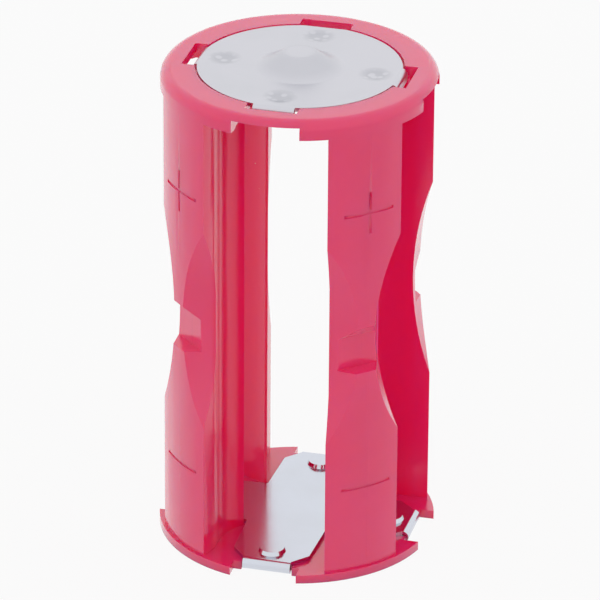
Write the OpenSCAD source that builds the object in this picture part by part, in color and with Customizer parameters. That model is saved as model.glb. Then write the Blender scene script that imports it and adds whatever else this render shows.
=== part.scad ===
// Cylindrical adapter that holds four small round cells side by side.
// Axis along Z, underside of the flange on Z = 0, windows facing +X, +Y, -X and -Y.

/* [Body] */
// Diameter of the top ring
ring_d = 25.8; // [25.7:0.1:27]
// Diameter of the thin bottom flange
flange_d = 26.2; // [25.7:0.1:27]
// Diameter across the outer faces of the pillars
pillar_d = 25.6; // [25.2:0.1:25.7]
// Height from the flange underside to the ring top
body_h = 47.2; // [42:0.1:60]
// Depth of the head block, skirts included
head_t = 1.8; // [1.5:0.1:3]
// Thickness of the head where it bridges a window
web_t = 0.6; // [0.5:0.05:0.9]
// Thickness of the bottom flange
flange_t = 0.85; // [0.7:0.05:1.4]
// Rounding of the upper rim of the head
rim_round = 1; // [0.4:0.05:1.2]
// Diameter of the hole through the flange under the plate
floor_hole_d = 11; // [8:0.1:11]

/* [Bays] */
// Width and rounding of the inner end of each cell bay
bay_d = 11.1; // [10.9:0.1:11.2]
// Distance from the middle axis to the middle of the rounding
bay_offset = 8.05; // [8:0.05:8.3]
// Distance from the middle axis to where the bay walls start to flare
flare_offset = 9.5; // [9.2:0.1:10]
// Distance from the window axis to the edge of the mouth beside the deeper scoop
deep_mouth = 6.15; // [5.9:0.05:6.3]
// Distance from the window axis to the other edge of the mouth
shallow_mouth = 5.65; // [5.6:0.05:5.9]
// Diameter of the open core shared by the four bays
core_d = 11.9; // [11.5:0.1:12.4]

/* [Grip scoops] */
// Height of the middle of the scoops above the underside
scoop_z = 24.3; // [22:0.1:26]
// Length of the scoops up the pillar
scoop_h = 20; // [16:0.1:24]
// Depth of the deeper scoop on one side of each window
deep_scoop = 2.2; // [1.8:0.05:2.5]
// Lean of the deeper scoop, rising outwards from the window
deep_lean = 11; // [0:1:15]
// Depth of the shallower scoop on the other side
shallow_scoop = 1.75; // [1.2:0.05:2]
// Height of the middle of the thumb pocket above the underside
pocket_z = 22.9; // [21.5:0.1:24.5]
// Height of the flat floor of the thumb pocket
pocket_h = 3.2; // [2:0.1:6]
// Depth of the thumb pocket in the middle of the pillar
pocket_t = 1.4; // [0.8:0.05:1.8]
// Rise of the sloping upper end of the thumb pocket
pocket_rise = 1.3; // [0.4:0.05:1.6]
// Drop of the steeper lower end of the thumb pocket
pocket_sill = 0.1; // [0.05:0.05:1]

/* [Notches] */
// Width of the notches in the ring and in the flange
notch_w = 6.4; // [6.2:0.1:7]
// Radial depth of the flange notches
flange_notch = 1.75; // [1:0.05:1.9]
// Width of the through slots in the ring
slot_w = 4.9; // [4.8:0.1:5.6]
// Distance from the middle axis to the outer wall of the ring slots
slot_reach = 10.65; // [10.5:0.05:10.9]
// Thickness of the lip that hangs from the bridge along each slot
lip_t = 0.5; // [0.4:0.05:0.7]
// Height of that lip below the underside of the bridge
lip_h = 0.3; // [0.1:0.05:0.5]

/* [Polarity marks] */
// Width of the engraved strokes
mark_w = 0.32; // [0.2:0.02:0.5]
// Depth of the engraved strokes
mark_t = 0.14; // [0.06:0.02:0.2]
// Length of the level strokes
mark_l = 5.2; // [3:0.1:6]
// Height of the plus mark above the underside
plus_z = 37.4; // [35.5:0.1:38.5]
// Height of the minus mark above the underside
minus_z = 9.3; // [6:0.1:12]

/* [Positive contact] */
// Diameter of the contact disc
disc_d = 19; // [18.6:0.1:19.2]
// Thickness of the disc sheet
disc_t = 0.4; // [0.3:0.05:0.45]
// Gap round the edge of the disc
disc_gap = 0.2; // [0.1:0.05:0.3]
// Depth of the seat below the ring top
seat_t = 0.45; // [0.45:0.05:0.6]
// Width of the ledge the disc rests on
ledge_w = 0.7; // [0.5:0.05:0.9]
// Width of the four fold-down tabs
disc_tab_w = 3.9; // [3.5:0.1:4.6]
// Drop of the tabs below the ring top
tab_drop = 1.2; // [1:0.05:1.4]
// Diameter of the raised terminal where its flare meets the disc
nub_root_d = 8.6; // [8.2:0.1:9]
// Diameter of the foot of the terminal cone
nub_cone_d = 7.2; // [6:0.1:7.6]
// Diameter of the raised terminal at its flat top
nub_top_d = 2.9; // [2.4:0.1:3.5]
// Height of the raised terminal
nub_h = 1.5; // [1.2:0.05:2]
// Distance from the middle axis to the pressed dents
dent_offset = 7.2; // [7:0.05:7.3]
// Diameter of the pressed dents
dent_d = 2.8; // [2:0.1:3]
// Depth of the pressed dents
dent_t = 0.2; // [0.1:0.05:0.35]

/* [Negative contact] */
// Thickness of the plate sheet
plate_t = 0.4; // [0.3:0.05:0.5]
// Width of the crossed arms
arm_w = 7.7; // [7.2:0.1:7.8]
// Distance from the middle axis to the corner cut of each arm
arm_reach = 9.4; // [9:0.05:9.8]
// Width of the rolled tabs at the arm ends
roll_w = 4.6; // [4:0.1:5]
// Distance from the middle axis to the roll axis
roll_offset = 10.95; // [10.9:0.05:11.2]
// Outer diameter of the rolled edge
roll_d = 1.2; // [1.1:0.05:1.2]
// Side clearance of the rolled tabs in the flange
roll_gap = 0.15; // [0.1:0.05:0.3]
// Distance from the middle axis to the raised buttons
button_offset = 9.2; // [9:0.05:9.2]
// Diameter of the raised buttons
button_d = 2.6; // [2:0.1:2.6]
// Height of the raised buttons
button_h = 0.4; // [0.2:0.05:0.5]

/* [Hidden] */
$fn = 96;
eps = 0.01;
far = 40;
head_z = body_h - head_t;
seat_z = body_h - seat_t;
seat_d = disc_d + 2 * disc_gap;
hole_d = seat_d - 2 * ledge_w;
pillar_r = pillar_d / 2;
// Where the two walls of a bay meet the outer face of the pillars
deep_u = sqrt(pillar_r ^ 2 - deep_mouth ^ 2);
shallow_u = sqrt(pillar_r ^ 2 - shallow_mouth ^ 2);
// Reach of a scoop into the window past the edge of its mouth
scoop_in = 1;
bend_r = 0.15;
fold_u = 9.2;
plate_z = flange_t;
plate_top = plate_z + plate_t;
roll_z = plate_top - roll_d / 2;
roll_bore = roll_d - 2 * plate_t;

module at_windows() {
    for (a = [0 : 90 : 270]) rotate(a) children();
}

module at_pillars() {
    for (a = [45 : 90 : 315]) rotate(a) children();
}

// Tube between two diameters
module tube(outer_d, inner_d, h) {
    difference() {
        cylinder(d = outer_d, h = h);
        translate([0, 0, -eps]) cylinder(d = inner_d, h = h + 2 * eps);
    }
}

// Round bar lying outwards from one edge of a window mouth
module scoop(u, mouth, depth, side, lean) {
    sag_r = (scoop_h ^ 2 / 4 + depth ^ 2) / (2 * depth);
    translate([u, side * mouth, scoop_z]) rotate(-side * lean)
        translate([sag_r - depth, -side * scoop_in, 0])
            rotate([-side * 90, 0, 0]) cylinder(r = sag_r, h = pillar_r, $fn = 180);
}

// Flat-floored pocket with sloping ends across one pillar
module thumb_pocket() {
    floor_u = pillar_r - pocket_t;
    slope = (pocket_t + 1) / pocket_t;
    translate([0, far / 2, pocket_z]) rotate([90, 0, 0]) linear_extrude(far)
        polygon([
            [floor_u, -pocket_h / 2],
            [pillar_r + 1, -pocket_h / 2 - slope * pocket_sill],
            [pillar_r + 1, pocket_h / 2 + slope * pocket_rise],
            [floor_u, pocket_h / 2],
        ]);
}

// Level engraved stroke that follows the curve of the pillar
module level_stroke(z) {
    intersection() {
        translate([0, 0, z - mark_w / 2]) tube(pillar_d + 2, pillar_d - 2 * mark_t, mark_w);
        translate([0, -mark_l / 2, 0]) cube([far, mark_l, body_h]);
    }
}

// Upright engraved stroke through the plus mark
module upright_stroke() {
    upright_l = 0.8 * mark_l;
    translate([pillar_r - mark_t, -mark_w / 2, plus_z - upright_l / 2])
        cube([1, mark_w, upright_l]);
}

// Channel for one cell, rounded at the inner end and flared towards the window
module bay() {
    half = bay_d / 2;
    translate([bay_offset, 0, 0]) cylinder(d = bay_d, h = body_h);
    linear_extrude(body_h) polygon([
        [bay_offset, -half],
        [flare_offset, -half],
        [deep_u, -deep_mouth],
        [far, -deep_mouth],
        [far, shallow_mouth],
        [shallow_u, shallow_mouth],
        [flare_offset, half],
        [bay_offset, half],
    ]);
}

module pillars() {
    difference() {
        translate([0, 0, flange_t - eps])
            cylinder(d = pillar_d, h = head_z - flange_t + 2 * eps);
        cylinder(d = core_d, h = body_h);
        at_windows() {
            bay();
            scoop(deep_u, deep_mouth, deep_scoop, -1, deep_lean);
            scoop(shallow_u, shallow_mouth, shallow_scoop, 1, 0);
        }
        at_pillars() {
            thumb_pocket();
            level_stroke(plus_z);
            level_stroke(minus_z);
            upright_stroke();
        }
    }
}

// Ring block with a seat for the disc, slots for its tabs and a notch under each bridge
module head() {
    difference() {
        union() {
            translate([0, 0, head_z]) cylinder(d = ring_d, h = head_t - rim_round);
            translate([0, 0, head_z]) cylinder(d = ring_d - 2 * rim_round, h = head_t);
            translate([0, 0, body_h - rim_round]) rotate_extrude()
                translate([ring_d / 2 - rim_round, 0]) circle(r = rim_round, $fn = 64);
        }
        translate([0, 0, head_z - 1]) cylinder(d = hole_d, h = head_t + 2);
        translate([0, 0, seat_z]) cylinder(d = seat_d, h = 1);
        at_windows() {
            translate([0, -slot_w / 2, head_z - 1]) cube([slot_reach, slot_w, head_t + 2]);
            translate([seat_d / 2, -notch_w / 2, head_z - 1])
                cube([far, notch_w, head_t + 1 - web_t - lip_h]);
            translate([slot_reach + lip_t, -notch_w / 2, head_z - 1])
                cube([far, notch_w, head_t + 1 - web_t]);
        }
    }
}

// Thin floor with a notch at each window and a deeper slot for the rolled tab
module flange() {
    slot_u = roll_offset - roll_d / 2 - roll_gap;
    tab_slot_w = roll_w + 2 * roll_gap;
    difference() {
        cylinder(d = flange_d, h = flange_t);
        translate([0, 0, -1]) cylinder(d = floor_hole_d, h = flange_t + 2);
        at_windows() {
            translate([flange_d / 2 - flange_notch, -notch_w / 2, -1])
                cube([far, notch_w, flange_t + 2]);
            translate([slot_u, -tab_slot_w / 2, -1]) cube([far, tab_slot_w, flange_t + 2]);
        }
    }
}

module cell_frame() {
    color([0.86, 0.2, 0.36]) {
        flange();
        pillars();
        head();
    }
}

// Quarter bend of sheet, turning from level to straight down
module bend(t, w) {
    intersection() {
        rotate([90, 0, 0]) translate([0, 0, -w / 2]) tube(2 * (bend_r + t), 2 * bend_r, w);
        translate([0, -w / 2, 0]) cube([bend_r + t, w, bend_r + t]);
    }
}

// Tab folded straight down through a slot
module disc_tab() {
    bend_z = seat_z - bend_r;
    low_z = body_h - tab_drop;
    translate([fold_u, 0, bend_z]) bend(disc_t, disc_tab_w);
    translate([fold_u + bend_r, -disc_tab_w / 2, low_z])
        cube([disc_t, disc_tab_w, bend_z - low_z + eps]);
}

// Raised terminal, a cone with a flare at its foot and a flat top with a soft edge
module terminal(grow) {
    root_r = nub_root_d / 2 + grow;
    cone_r = nub_cone_d / 2 + grow;
    top_r = nub_top_d / 2 + grow;
    rotate_extrude() polygon([
        [0, -eps],
        [root_r, -eps],
        [root_r, 0],
        [(root_r + cone_r) / 2, 0.05 * nub_h],
        [cone_r, 0.15 * nub_h],
        [cone_r - 0.6, 0.32 * nub_h],
        [top_r + 0.35, 0.88 * nub_h],
        [top_r + 0.12, 0.98 * nub_h],
        [top_r, nub_h],
        [0, nub_h],
    ]);
}

// Stamped disc with a raised terminal, a pressed dent over each bay and four tabs
module positive_contact() {
    dent_r = (dent_d ^ 2 / 4 + dent_t ^ 2) / (2 * dent_t);
    top_z = seat_z + disc_t;
    dent_z = top_z - dent_t + dent_r;
    color([0.82, 0.83, 0.85]) difference() {
        union() {
            translate([0, 0, seat_z]) cylinder(d = disc_d, h = disc_t);
            translate([0, 0, top_z]) terminal(0);
            at_windows() translate([dent_offset, 0, 0]) intersection() {
                translate([0, 0, dent_z]) sphere(r = dent_r + disc_t);
                translate([0, 0, seat_z - dent_t]) cylinder(d = dent_d + 1, h = dent_t + disc_t / 2);
            }
        }
        translate([0, 0, seat_z - eps]) terminal(-disc_t);
        at_windows() {
            translate([dent_offset, 0, dent_z]) sphere(r = dent_r);
            translate([fold_u, -disc_tab_w / 2, seat_z - 1]) cube([far, disc_tab_w, disc_t + 2]);
        }
    }
    color([0.82, 0.83, 0.85]) at_windows() disc_tab();
}

// One straight arm pair of the plate with its corners cut back to the rolled tabs
module arm_pair() {
    end_u = roll_offset;
    half = arm_w / 2;
    tab = roll_w / 2;
    cut = half - 0.2;
    linear_extrude(plate_t) polygon([
        [-end_u, -tab],
        [-arm_reach, -cut],
        [-half, -half],
        [half, -half],
        [arm_reach, -cut],
        [end_u, -tab],
        [end_u, tab],
        [arm_reach, cut],
        [half, half],
        [-half, half],
        [-arm_reach, cut],
        [-end_u, tab],
    ]);
}

// Edge of the plate curled under into an open roll
module rolled_edge() {
    translate([roll_offset, 0, roll_z]) rotate([90, 0, 0]) translate([0, 0, -roll_w / 2])
        difference() {
            tube(roll_d, roll_bore, roll_w);
            translate([-roll_d, -roll_d / 4, -eps]) cube([roll_d, roll_d / 2 - plate_t + 0.1, roll_w + 1]);
        }
}

// Button pressed up out of the sheet, hollow underneath
module button() {
    cylinder(d1 = button_d, d2 = button_d - 0.3, h = button_h);
}

module negative_contact() {
    color([0.8, 0.82, 0.86]) difference() {
        union() {
            translate([0, 0, plate_z]) {
                arm_pair();
                rotate(90) arm_pair();
            }
            at_windows() {
                rolled_edge();
                translate([button_offset, 0, plate_top - eps]) button();
            }
        }
        at_windows() translate([button_offset, 0, plate_z - eps])
            cylinder(d = button_d - 0.3 - 2 * plate_t, h = button_h);
    }
}

cell_frame();
positive_contact();
negative_contact();
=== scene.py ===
"""Dresses the cylindrical cell holder: a moulded cage, a terminal disc and a contact plate."""

import logging
import math
from dataclasses import dataclass, field
from enum import Enum
from typing import Any, Callable, Iterable, Optional, Union

import bmesh
import bpy
from mathutils import Matrix, Vector


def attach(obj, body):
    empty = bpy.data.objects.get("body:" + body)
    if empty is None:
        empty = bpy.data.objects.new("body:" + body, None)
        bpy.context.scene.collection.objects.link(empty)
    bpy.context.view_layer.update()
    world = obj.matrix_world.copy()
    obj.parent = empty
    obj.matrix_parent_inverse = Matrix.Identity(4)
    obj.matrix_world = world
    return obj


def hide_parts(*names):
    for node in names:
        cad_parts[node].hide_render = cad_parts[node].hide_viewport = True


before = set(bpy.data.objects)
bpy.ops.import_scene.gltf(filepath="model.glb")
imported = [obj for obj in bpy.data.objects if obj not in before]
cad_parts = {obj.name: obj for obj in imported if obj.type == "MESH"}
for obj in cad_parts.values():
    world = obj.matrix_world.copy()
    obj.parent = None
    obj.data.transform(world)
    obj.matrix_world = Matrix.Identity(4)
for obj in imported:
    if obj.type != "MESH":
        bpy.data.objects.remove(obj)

MM = 0.001
MERGE_MM = 0.002
FLAT_DEG = 0.6
MIX_SHARE, MIX_UNDER, MIX_OVER, MIX_RESULT = 0, 6, 7, 2
LOG = logging.getLogger("cell_holder")

Tree = bpy.types.NodeTree
Socket = bpy.types.NodeSocket
Piece = bpy.types.Object


class Material(Enum):
    """The slots of the record that the pieces take their finish from."""

    PLASTIC = "moulded_plastic"
    DISC = "plated_disc"
    PLATE = "plated_plate"


def linear(hex_colour: str) -> tuple[float, float, float, float]:
    """Turns an sRGB hex colour into the linear colour that a shader takes.

    Args:
        hex_colour: Six hex digits with a leading hash.

    Returns:
        Linear red, green, blue and an alpha of one.
    """
    parts = [int(hex_colour[i:i + 2], 16) / 255 for i in (1, 3, 5)]
    r, g, b = (c / 12.92 if c <= 0.04045 else ((c + 0.055) / 1.055) ** 2.4 for c in parts)
    return r, g, b, 1.0


def add_node(tree: Tree, kind: str, settings: Optional[dict[str, Any]] = None,
             values: Optional[dict[Any, Any]] = None,
             links: Optional[dict[Any, Socket]] = None) -> bpy.types.Node:
    """Adds one node with its settings, its socket values and its incoming links.

    Args:
        tree: The node tree that gets the node.
        kind: The node's type name.
        settings: Properties of the node itself.
        values: Values for input sockets, by name or index.
        links: Output sockets that feed input sockets, by name or index.

    Returns:
        The new node.
    """
    node = tree.nodes.new(kind)
    for name, value in (settings or {}).items():
        setattr(node, name, value)
    for name, value in (values or {}).items():
        node.inputs[name].default_value = value
    for name, socket in (links or {}).items():
        tree.links.new(socket, node.inputs[name])
    return node


def ramp(tree: Tree, value: Socket, start: float, stop: float, low: float = 0.0, high: float = 1.0,
         smooth: bool = False) -> Socket:
    """Turns one range of a value into another and holds it at both ends.

    Args:
        tree: The material's node tree.
        value: The socket with the value.
        start: The value that gives the low result.
        stop: The value that gives the high result.
        low: The result up to the start.
        high: The result from the stop on.
        smooth: True to ease in and out, False for a straight ramp.

    Returns:
        The socket with the result.
    """
    node = add_node(tree, "ShaderNodeMapRange",
                    {"interpolation_type": "SMOOTHSTEP" if smooth else "LINEAR"},
                    values={"From Min": start, "From Max": stop, "To Min": low, "To Max": high},
                    links={"Value": value})
    return node.outputs["Result"]


def maths(tree: Tree, operation: str, first: Socket,
          second: Optional[Union[Socket, float]] = None) -> Socket:
    """Works out one sum.

    Args:
        tree: The material's node tree.
        operation: The name of the sum.
        first: The socket with the first value.
        second: A socket or a number, or nothing where the sum takes one value.

    Returns:
        The socket with the result.
    """
    values, links = {}, {0: first}
    if isinstance(second, float):
        values[1] = second
    elif second is not None:
        links[1] = second
    return add_node(tree, "ShaderNodeMath", {"operation": operation}, values, links).outputs["Value"]


def blend(tree: Tree, share: Socket, under: Union[Socket, str], over: str) -> Socket:
    """Lays one colour over another.

    Args:
        tree: The material's node tree.
        share: The socket with the share of the upper colour.
        under: The lower colour, as a socket or in hex.
        over: The upper colour, in hex.

    Returns:
        The socket with the mixed colour.
    """
    values, links = {MIX_OVER: linear(over)}, {MIX_SHARE: share}
    if isinstance(under, str):
        values[MIX_UNDER] = linear(under)
    else:
        links[MIX_UNDER] = under
    mix = add_node(tree, "ShaderNodeMix", {"data_type": "RGBA"}, values, links)
    return mix.outputs[MIX_RESULT]


def noise(tree: Tree, place: Socket, size_mm: float, detail: float) -> Socket:
    """Makes a soft random pattern.

    Args:
        tree: The material's node tree.
        place: The socket with the object's coordinates.
        size_mm: The size of the pattern in millimetres.
        detail: How many finer layers the pattern has.

    Returns:
        The socket with the pattern, from nought to one.
    """
    return add_node(tree, "ShaderNodeTexNoise", values={"Scale": 1000 / size_mm, "Detail": detail},
                    links={"Vector": place}).outputs["Fac"]


def bump(tree: Tree, height: Socket, rise_mm: float, strength: float,
         under: Optional[Socket] = None) -> Socket:
    """Raises a surface by a pattern.

    Args:
        tree: The material's node tree.
        height: The socket with the pattern.
        rise_mm: How far the pattern stands out in millimetres.
        strength: How much of the rise shows.
        under: The socket with the relief that this one lies on.

    Returns:
        The socket with the new normal.
    """
    links = {"Height": height}
    if under is not None:
        links["Normal"] = under
    return add_node(tree, "ShaderNodeBump", values={"Strength": strength, "Distance": rise_mm * MM},
                    links=links).outputs["Normal"]


def reach_from_four(tree: Tree, place: Socket, offset_mm: float) -> Socket:
    """Measures how far a point is from the nearest of four upright axes round the middle.

    Args:
        tree: The material's node tree.
        place: The socket with the object's coordinates.
        offset_mm: How far each axis stands from the middle along X or Y, in millimetres.

    Returns:
        A socket with the distance in metres.
    """
    parts = add_node(tree, "ShaderNodeSeparateXYZ", links={0: place})
    wide = maths(tree, "ABSOLUTE", parts.outputs["X"])
    deep = maths(tree, "ABSOLUTE", parts.outputs["Y"])
    along = maths(tree, "MAXIMUM", wide, deep)
    across = maths(tree, "MINIMUM", wide, deep)
    return flat_reach(tree, maths(tree, "SUBTRACT", along, offset_mm * MM), across)


def flat_reach(tree: Tree, along: Socket, across: Socket) -> Socket:
    """Works out the distance in a level plane from its two parts.

    Args:
        tree: The material's node tree.
        along: The socket with the first part.
        across: The socket with the second part.

    Returns:
        The socket with the distance.
    """
    spot = add_node(tree, "ShaderNodeCombineXYZ", links={0: along, 1: across})
    reach = add_node(tree, "ShaderNodeVectorMath", {"operation": "LENGTH"},
                     links={0: spot.outputs["Vector"]})
    return reach.outputs["Value"]


def empty_material(name: str) -> bpy.types.Material:
    """Makes a new material with an empty node tree.

    Args:
        name: The material's name.

    Returns:
        The new material.
    """
    material = bpy.data.materials.new(name)
    material.use_nodes = True
    material.node_tree.nodes.clear()
    return material


def pick(piece: Piece) -> None:
    """Makes a piece the only selected and the active object.

    Args:
        piece: The piece to pick.
    """
    for other in list(bpy.context.selected_objects):
        other.select_set(False)
    piece.select_set(True)
    bpy.context.view_layer.objects.active = piece


def apply_modifier(piece: Piece, kind: str, **settings: Any) -> None:
    """Adds a modifier to a piece, sets it and applies it.

    Args:
        piece: The piece to work on.
        kind: The modifier's type.
        settings: The modifier's properties.
    """
    modifier = piece.modifiers.new(kind.lower(), kind)
    for name, value in settings.items():
        setattr(modifier, name, value)
    pick(piece)
    bpy.ops.object.modifier_apply(modifier=modifier.name)


def merged_copy(node: str, name: str) -> Piece:
    """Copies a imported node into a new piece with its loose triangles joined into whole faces.

    Args:
        node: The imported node's name.
        name: The new piece's name.

    Returns:
        The new piece, with its place in its mesh.
    """
    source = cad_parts[node]
    mesh = bpy.data.meshes.new(name)
    piece = bpy.data.objects.new(name, mesh)
    bpy.context.scene.collection.objects.link(piece)
    shell = bmesh.new()
    shell.from_mesh(source.data)
    bmesh.ops.remove_doubles(shell, verts=shell.verts, dist=MERGE_MM * MM)
    bmesh.ops.dissolve_limit(shell, angle_limit=math.radians(FLAT_DEG), verts=shell.verts,
                             edges=shell.edges, delimit=set())
    for face in shell.faces:
        face.material_index = 0
    shell.to_mesh(mesh)
    shell.free()
    return piece


def whole_edge(spot: Vector) -> float:
    """Gives every edge its full width.

    Args:
        spot: The middle of an edge, in metres; not used, as every edge gets the same width.

    Returns:
        The share of the edge width, always one.
    """
    return 1.0


def break_edges(piece: Piece, width_mm: float, steps: int, sharp_deg: float,
                share: Callable[[Vector], float] = whole_edge, material: int = -1) -> None:
    """Breaks the sharp edges of a piece with a small radius and smooths what is left.

    Args:
        piece: The piece to work on.
        width_mm: The width of the broken edge where the share is one, in millimetres.
        steps: The number of faces across a broken edge.
        sharp_deg: The smallest angle between two faces that counts as an edge.
        share: The share of the width that an edge gets, from its middle in metres.
        material: The material slot of the broken edges, or -1 to keep their neighbour's.
    """
    shell = bmesh.new()
    shell.from_mesh(piece.data)
    weight = shell.edges.layers.float.new("bevel_weight_edge")
    for edge in shell.edges:
        if edge.is_manifold and edge.calc_face_angle(0) > math.radians(sharp_deg):
            edge[weight] = share((edge.verts[0].co + edge.verts[1].co) / 2)
    shell.to_mesh(piece.data)
    shell.free()
    apply_modifier(piece, "BEVEL", width=width_mm * MM, segments=steps, limit_method="WEIGHT",
                   material=material)
    pick(piece)
    bpy.ops.object.shade_smooth_by_angle(angle=math.radians(sharp_deg))
    apply_modifier(piece, "WEIGHTED_NORMAL", keep_sharp=True, weight=100)


@dataclass(frozen=True)
class MouldedPolypropylene:
    """Glossy injection-moulded polypropylene, tinted through.

    Polypropylene is milky, so light enters a little way and comes back redder. The polished mould
    leaves a clear resin-rich skin that shines, with faint drag lines along the way the part is
    drawn out. The mould pins that form the bays are less polished than the outside of the mould.
    The bay walls are also painted a deeper, more saturated red, a painted shade that stands in for
    the red light bounced between them.
    """

    name: str
    body: str = "#FA2070"
    thin: str = "#FB2E7A"
    painted_bay_shade: str = "#FF1E6A"
    dust: str = "#F4B9C6"
    roughness: float = 0.2
    gloss_spread: tuple[float, float] = (-0.03, 0.04)
    ior: float = 1.49
    haze_mm: float = 9.0
    drag_mm: float = 0.5
    drag_stretch: float = 0.06
    drag_rise_mm: float = 0.004
    peel_mm: float = 1.6
    peel_rise_mm: float = 0.03
    speck_spacing_mm: float = 3.2
    speck_mm: float = 0.07
    speck_share: float = 0.7
    milky: float = 1.0
    depth_mm: float = 1.6
    bleed: tuple[float, float, float] = (1.0, 0.06, 0.07)
    skin: float = 0.9
    core_skin: float = 0.1
    skin_ior: float = 1.5
    bay_offset_mm: float = 8.05
    bay_reach_mm: float = 5.7
    bay_fade_mm: float = 0.3
    bay_floor_mm: float = 0.9
    bay_top_mm: float = 45.3
    line_mm: float = 0.09
    line_rise_mm: float = 0.02
    line_top_mm: float = 45.2

    def make(self) -> bpy.types.Material:
        """Builds the material.

        Returns:
            The finished material.
        """
        material = empty_material(self.name)
        tree = material.node_tree
        place = add_node(tree, "ShaderNodeTexCoord").outputs["Object"]
        bay = self.bay_side(tree, place)
        # Drag lines run up the part, so their pattern is drawn out along Z
        upright = add_node(tree, "ShaderNodeMapping", values={"Scale": (1, 1, self.drag_stretch)},
                           links={"Vector": place})
        drag = noise(tree, upright.outputs["Vector"], self.drag_mm, 4.0)
        low, high = (self.roughness + spread for spread in self.gloss_spread)
        gloss = ramp(tree, drag, 0.0, 1.0, low, high)
        relief = self.relief(tree, place, drag)
        shader = add_node(tree, "ShaderNodeBsdfPrincipled", {"subsurface_method": "RANDOM_WALK"},
                          values={"IOR": self.ior, "Subsurface Weight": self.milky,
                                  "Subsurface Radius": self.bleed,
                                  "Subsurface Scale": self.depth_mm * MM,
                                  "Coat IOR": self.skin_ior},
                          links={"Base Color": self.tone(tree, place, bay), "Roughness": gloss,
                                 "Normal": relief, "Coat Roughness": gloss, "Coat Normal": relief,
                                 "Coat Weight": ramp(tree, bay, 0.0, 1.0, self.skin, self.core_skin)})
        add_node(tree, "ShaderNodeOutputMaterial", links={"Surface": shader.outputs["BSDF"]})
        return material

    def tone(self, tree: Tree, place: Socket, bay: Socket) -> Socket:
        """Mixes the plastic's colour: a hazy body, a painted shade of deeper red on the bay walls and
        a few dust specks.

        Args:
            tree: The material's node tree.
            place: The socket with the object's coordinates.
            bay: The socket that is one on the walls of the bays.

        Returns:
            The socket with the colour.
        """
        haze = ramp(tree, noise(tree, place, self.haze_mm, 3.0), 0.3, 0.75)
        body = blend(tree, haze, self.body, self.thin)
        # Painted shade: the bay walls take a deeper red that stands in for the red light bounced
        # between them
        toned = blend(tree, bay, body, self.painted_bay_shade)
        specks = add_node(tree, "ShaderNodeTexVoronoi", values={"Scale": 1000 / self.speck_spacing_mm},
                          links={"Vector": place})
        reach = self.speck_mm / self.speck_spacing_mm
        dots = ramp(tree, specks.outputs["Distance"], reach, 0.4 * reach, 0.0, self.speck_share)
        return blend(tree, dots, toned, self.dust)

    def relief(self, tree: Tree, place: Socket, drag: Socket) -> Socket:
        """Lays the drag lines, the mould's parting line and the skin's waviness on each other.

        Args:
            tree: The material's node tree.
            place: The socket with the object's coordinates.
            drag: The socket with the pattern of the drag lines.

        Returns:
            The socket with the normal.
        """
        dragged = bump(tree, drag, self.drag_rise_mm, 0.25)
        parted = bump(tree, self.mould_line(tree, place), self.line_rise_mm, 0.5, dragged)
        return bump(tree, noise(tree, place, self.peel_mm, 2.0), self.peel_rise_mm, 0.5, parted)

    def bay_side(self, tree: Tree, place: Socket) -> Socket:
        """Finds the round walls of the four bays.

        Args:
            tree: The material's node tree.
            place: The socket with the object's coordinates.

        Returns:
            A socket that is one on the walls of the bays and nought on the outside.
        """
        wall = ramp(tree, reach_from_four(tree, place, self.bay_offset_mm), self.bay_reach_mm * MM,
                    (self.bay_reach_mm + self.bay_fade_mm) * MM, 1.0, 0.0)
        height = add_node(tree, "ShaderNodeSeparateXYZ", links={0: place}).outputs["Z"]
        inside = maths(tree, "MULTIPLY", maths(tree, "GREATER_THAN", height, self.bay_floor_mm * MM),
                       maths(tree, "LESS_THAN", height, self.bay_top_mm * MM))
        return maths(tree, "MULTIPLY", wall, inside)

    def mould_line(self, tree: Tree, place: Socket) -> Socket:
        """Traces the line that the parting of the mould leaves down the middle of each pillar.

        Args:
            tree: The material's node tree.
            place: The socket with the object's coordinates.

        Returns:
            A socket that is one on the line and nought off it.
        """
        parts = add_node(tree, "ShaderNodeSeparateXYZ", links={0: place})
        off = maths(tree, "SUBTRACT", maths(tree, "ABSOLUTE", parts.outputs["X"]),
                    maths(tree, "ABSOLUTE", parts.outputs["Y"]))
        ridge = ramp(tree, maths(tree, "ABSOLUTE", off), 0.0, self.line_mm * MM, 1.0, 0.0)
        below = maths(tree, "LESS_THAN", parts.outputs["Z"], self.line_top_mm * MM)
        return maths(tree, "MULTIPLY", ridge, below)


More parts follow.
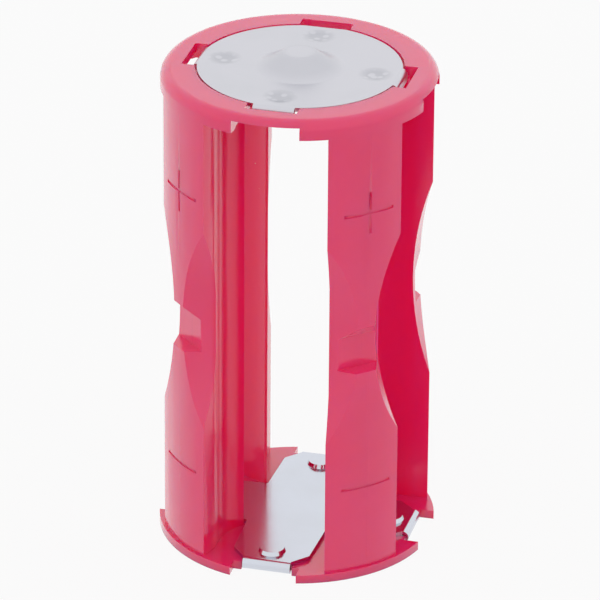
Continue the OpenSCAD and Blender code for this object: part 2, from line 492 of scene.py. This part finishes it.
@dataclass(frozen=True)
class PressShade:
    """Painted shade on the pressed forms: darker lobes in the four dents and a darker band on the
    terminal's sloped flank.
    """

    colour: str = "#A4A6AE"
    dent_offset_mm: float = 7.2
    dent_core_mm: float = 0.85
    dent_mm: float = 1.71
    dent_share: float = 0.38
    lobe_mm: float = 0.85
    terminal_top_mm: tuple[float, float] = (0.86, 1.945)
    terminal_foot_mm: tuple[float, float] = (2.795, 4.31)
    terminal_share: float = 0.2

    def share(self, tree: Tree, place: Socket) -> Socket:
        """Works out the share of painted shade.

        Args:
            tree: The material's node tree.
            place: The socket with the object's coordinates.

        Returns:
            A socket with the share of wear, nought where the press left the sheet alone.
        """
        # Painted shade: dark lobes in each dent stand in for the shading of the pressed dimple
        lobes = add_node(tree, "ShaderNodeTexVoronoi", values={"Scale": 1000 / self.lobe_mm},
                         links={"Vector": place})
        lobe_shade = ramp(tree, lobes.outputs["Distance"], 0.25, 0.48, 0.0, self.dent_share, smooth=True)
        near = ramp(tree, reach_from_four(tree, place, self.dent_offset_mm), self.dent_core_mm * MM,
                    self.dent_mm * MM, 1.0, 0.0)
        dents = maths(tree, "MULTIPLY", lobe_shade, near)
        # Painted shade: a darker band on the terminal's sloped flank
        parts = add_node(tree, "ShaderNodeSeparateXYZ", links={0: place})
        out = flat_reach(tree, parts.outputs["X"], parts.outputs["Y"])
        top, slope = (size * MM for size in self.terminal_top_mm)
        foot, sheet = (size * MM for size in self.terminal_foot_mm)
        drawn = ramp(tree, out, foot, sheet, self.terminal_share, 0.0, smooth=True)
        rise = ramp(tree, out, top, slope, smooth=True)
        return maths(tree, "ADD", dents, maths(tree, "MULTIPLY", drawn, rise))


@dataclass(frozen=True)
class NickelPlate:
    """Cold-rolled steel sheet, stamped and then nickel plated.

    The plating follows the sheet's rolling grain, so the shine is drawn out a little one way, with
    faint cloudy patches where it has been handled.
    """

    name: str
    colour: str
    roughness: float
    press_shade: Optional[PressShade] = None
    cloud: str = "#C8CAD0"
    cloud_mm: float = 5.0
    cloud_share: float = 0.35
    grain_mm: float = 0.18
    grain_turn_deg: float = -20.0
    grain_stretch: float = 0.04
    grain_rise_mm: float = 0.002
    gloss_spread: tuple[float, float] = (-0.02, 0.03)

    def make(self) -> bpy.types.Material:
        """Builds the material.

        Returns:
            The finished material.
        """
        material = empty_material(self.name)
        tree = material.node_tree
        place = add_node(tree, "ShaderNodeTexCoord").outputs["Object"]
        rolled = add_node(tree, "ShaderNodeMapping",
                          values={"Rotation": (0, 0, math.radians(self.grain_turn_deg)),
                                  "Scale": (self.grain_stretch, 1, 1)},
                          links={"Vector": place})
        grain = noise(tree, rolled.outputs["Vector"], self.grain_mm, 3.0)
        patch = ramp(tree, noise(tree, place, self.cloud_mm, 4.0), 0.45, 0.8, 0.0, self.cloud_share)
        colour = blend(tree, patch, self.colour, self.cloud)
        # Painted shade on the pressed forms, where the finish has it
        if self.press_shade:
            colour = blend(tree, self.press_shade.share(tree, place), colour, self.press_shade.colour)
        low, high = (self.roughness + spread for spread in self.gloss_spread)
        shader = add_node(tree, "ShaderNodeBsdfPrincipled", values={"Metallic": 1.0},
                          links={"Base Color": colour,
                                 "Roughness": ramp(tree, grain, 0.0, 1.0, low, high),
                                 "Normal": bump(tree, grain, self.grain_rise_mm, 0.2)})
        add_node(tree, "ShaderNodeOutputMaterial", links={"Surface": shader.outputs["BSDF"]})
        return material


@dataclass
class Cage:
    """The moulded cage: head ring, four pillars and notched flange in one piece."""

    edge_mm: float = 0.14
    edge_steps: int = 2
    sharp_deg: float = 24.0
    mark_bands_mm: tuple[tuple[float, float], ...] = ((37.4, 2.3), (9.3, 0.4))
    mark_half_deg: float = 13.0
    mark_radius_mm: float = 12.4
    face_finish: MouldedPolypropylene = field(
        default_factory=lambda: MouldedPolypropylene("polypropylene_face"))
    # Painted highlight: the broken edges take a lighter, glossier pink that stands in for the light
    # the rounded edges catch and let through
    painted_edge_highlight: MouldedPolypropylene = field(
        default_factory=lambda: MouldedPolypropylene("polypropylene_painted_edge_highlight", body="#FF6E90",
                                                     thin="#FF7A9A", painted_bay_shade="#FF6284",
                                                     roughness=0.16, milky=0.0))

    def build(self) -> Piece:
        """Models the cage with its mould edges broken by a small radius, and dresses it, with a
        painted highlight of lighter pink on the broken edges.

        Returns:
            The finished cage.
        """
        piece = merged_copy("cell_frame", "moulded_cage")
        for finish in (self.face_finish, self.painted_edge_highlight):
            piece.data.materials.append(finish.make())
        # The broken edges take the last slot, the painted highlight of lighter pink
        edge_slot = len(piece.data.materials) - 1
        break_edges(piece, self.edge_mm, self.edge_steps, self.sharp_deg, self.edge_share, edge_slot)
        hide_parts("cell_frame")
        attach(piece, "root")
        return piece

    def edge_share(self, spot: Vector) -> float:
        """Keeps the engraved marks crisp and breaks every other edge.

        Args:
            spot: The middle of an edge, in metres.

        Returns:
            The share of the edge width: nought in the marks, one elsewhere.
        """
        off_middle = abs(math.degrees(math.atan2(spot.y, spot.x)) % 90 - 45)
        outside = math.hypot(spot.x, spot.y) > self.mark_radius_mm * MM
        beside = any(abs(spot.z / MM - z) < reach for z, reach in self.mark_bands_mm)
        return 0.0 if outside and beside and off_middle < self.mark_half_deg else 1.0


@dataclass
class TerminalDisc:
    """The stamped top disc with its raised terminal, four dents and folded tabs."""

    edge_mm: float = 0.16
    edge_steps: int = 3
    sharp_deg: float = 26.0
    rim_mm: float = 9.3
    inner_share: float = 0.3
    # The disc's plating carries the painted shade of its dents and terminal flank
    finish: NickelPlate = field(
        default_factory=lambda: NickelPlate("nickel_plate_satin", "#D2D2D9", 0.3, PressShade()))

    def build(self) -> Piece:
        """Models the disc with its sheared edges broken, and dresses it.

        Returns:
            The finished disc.
        """
        piece = merged_copy("positive_contact", "terminal_disc")
        piece.data.materials.append(self.finish.make())
        break_edges(piece, self.edge_mm, self.edge_steps, self.sharp_deg, self.edge_share)
        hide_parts("positive_contact")
        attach(piece, "root")
        return piece

    def edge_share(self, spot: Vector) -> float:
        """Breaks the rim and the tabs fully and the pressed forms a little.

        Args:
            spot: The middle of an edge, in metres.

        Returns:
            The share of the edge width.
        """
        return 1.0 if math.hypot(spot.x, spot.y) > self.rim_mm * MM else self.inner_share


@dataclass
class ContactPlate:
    """The stamped cross-shaped floor plate with its buttons and rolled tab ends."""

    edge_mm: float = 0.05
    edge_steps: int = 2
    sharp_deg: float = 26.0
    finish: NickelPlate = field(
        default_factory=lambda: NickelPlate("nickel_plate_bright", "#D4D8E2", 0.16))

    def build(self) -> Piece:
        """Models the plate with its sheared edges broken, and dresses it.

        Returns:
            The finished plate.
        """
        piece = merged_copy("negative_contact", "contact_plate")
        piece.data.materials.append(self.finish.make())
        break_edges(piece, self.edge_mm, self.edge_steps, self.sharp_deg)
        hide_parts("negative_contact")
        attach(piece, "root")
        return piece


@dataclass(frozen=True)
class Lamp:
    """One soft square light: its place and side in metres and its power in watts."""

    name: str
    place: tuple[float, float, float]
    side: float
    power: float


@dataclass
class Studio:
    """The pale floor, the soft lights, the white surround and the camera."""

    turn_deg: float = 14.36
    back_mm: float = 489.52
    side_mm: float = 0.17
    height_mm: float = 261.57
    tilt_deg: float = 25.967
    roll_deg: float = 0.41
    lens_mm: float = 347.74
    sensor_mm: float = 36.0
    clip_m: tuple[float, float] = (0.01, 10.0)
    floor_m: float = 3.0
    floor_gap_mm: float = 0.03
    paper: float = 0.86
    glow: float = 0.98
    glow_share: float = 0.94
    ambient: float = 0.62
    aim_mm: float = 24.0
    lamps: tuple[Lamp, ...] = (
        Lamp("key_light", (-0.60, -0.50, 0.60), 1.10, 1.0),
        Lamp("fill_light", (0.70, -0.50, 0.35), 1.00, 0.5),
        Lamp("top_light", (0.10, 0.20, 0.90), 1.00, 0.7),
    )

    def build(self) -> None:
        """Builds the whole stage."""
        self.lay_floor()
        self.light_surround()
        turn = math.radians(self.turn_deg)
        for lamp in self.lamps:
            self.hang_light(lamp, turn)
        self.set_camera(turn)

    def lay_floor(self) -> None:
        """Lays a pale plain floor that shows as white and keeps the object's shadow."""
        bpy.ops.mesh.primitive_plane_add(size=self.floor_m, location=(0, 0, -self.floor_gap_mm * MM))
        floor = bpy.context.object
        floor.name = "studio_floor"
        material = empty_material("pale_floor")
        tree = material.node_tree
        paper = add_node(tree, "ShaderNodeBsdfDiffuse", values={"Color": (*[self.paper] * 3, 1)})
        white = add_node(tree, "ShaderNodeEmission", values={"Color": (*[self.glow] * 3, 1),
                                                             "Strength": 1.0})
        share = maths(tree, "MULTIPLY", self.seen_directly(tree), self.glow_share)
        mix = add_node(tree, "ShaderNodeMixShader", links={0: share, 1: paper.outputs["BSDF"],
                                                           2: white.outputs["Emission"]})
        add_node(tree, "ShaderNodeOutputMaterial", links={"Surface": mix.outputs["Shader"]})
        floor.data.materials.append(material)

    def seen_directly(self, tree: Tree) -> Socket:
        """Tells the eye's own rays and their mirror images from light that spreads.

        Args:
            tree: The node tree of the floor or of the surround.

        Returns:
            A socket that is one for a ray of the eye or of gloss and nought for any other.
        """
        rays = add_node(tree, "ShaderNodeLightPath")
        return maths(tree, "MAXIMUM", rays.outputs["Is Camera Ray"], rays.outputs["Is Glossy Ray"])

    def light_surround(self) -> None:
        """Makes the surround white to the eye and to gloss, and a plain soft light elsewhere."""
        world = bpy.data.worlds.new("studio")
        bpy.context.scene.world = world
        world.use_nodes = True
        tree = world.node_tree
        tree.nodes.clear()
        through = add_node(tree, "ShaderNodeLightPath").outputs["Is Transmission Ray"]
        shown = maths(tree, "MAXIMUM", self.seen_directly(tree), through)
        sky = add_node(tree, "ShaderNodeBackground", values={"Color": (1, 1, 1, 1)},
                       links={"Strength": ramp(tree, shown, 0.0, 1.0, self.ambient, 1.0)})
        add_node(tree, "ShaderNodeOutputWorld", links={"Surface": sky.outputs["Background"]})

    def hang_light(self, lamp: Lamp, turn: float) -> None:
        """Hangs one soft square light that faces the object and stays out of its reflections.

        Args:
            lamp: The light to hang, placed before the turn.
            turn: The turn about the long axis that all of the stage takes, in radians.
        """
        light = bpy.data.lights.new(lamp.name, "AREA")
        light.size = lamp.side
        light.energy = lamp.power
        holder = bpy.data.objects.new(lamp.name, light)
        holder.visible_glossy = False
        bpy.context.scene.collection.objects.link(holder)
        spot = Matrix.Rotation(turn, 4, "Z") @ Vector(lamp.place)
        aim = Vector((0, 0, self.aim_mm * MM)) - spot
        holder.rotation_mode = "QUATERNION"
        holder.rotation_quaternion = aim.to_track_quat("-Z", "Y")
        holder.location = spot

    def set_camera(self, turn: float) -> None:
        """Sets a long lens above and in front of one window.

        Args:
            turn: How far round the long axis the camera stands, in radians.
        """
        tilt, roll = math.radians(self.tilt_deg), math.radians(self.roll_deg)
        ahead = Vector((0, math.cos(tilt), -math.sin(tilt)))
        right = Vector((1, 0, 0))
        up = right.cross(ahead)
        side = math.cos(roll) * right + math.sin(roll) * up
        top = -math.sin(roll) * right + math.cos(roll) * up
        spot = Vector((self.side_mm, -self.back_mm, self.height_mm)) * MM
        seat = Matrix(((side.x, top.x, -ahead.x, spot.x), (side.y, top.y, -ahead.y, spot.y),
                       (side.z, top.z, -ahead.z, spot.z), (0, 0, 0, 1)))
        lens = bpy.data.cameras.new("camera")
        lens.sensor_width = self.sensor_mm
        lens.lens = self.lens_mm
        lens.clip_start, lens.clip_end = self.clip_m
        camera = bpy.data.objects.new("camera", lens)
        bpy.context.scene.collection.objects.link(camera)
        camera.matrix_world = Matrix.Rotation(turn, 4, "Z") @ seat
        bpy.context.scene.camera = camera


def main() -> None:
    """Builds every piece in order."""
    logging.basicConfig(level=logging.INFO, format="%(message)s")
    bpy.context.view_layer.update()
    bpy.context.scene.view_settings.view_transform = "Standard"
    Studio().build()
    for maker in (Cage(), TerminalDisc(), ContactPlate()):
        piece = maker.build()
        LOG.info("%s: %d faces", piece.name, len(piece.data.polygons))


if __name__ == "__main__":
    main()
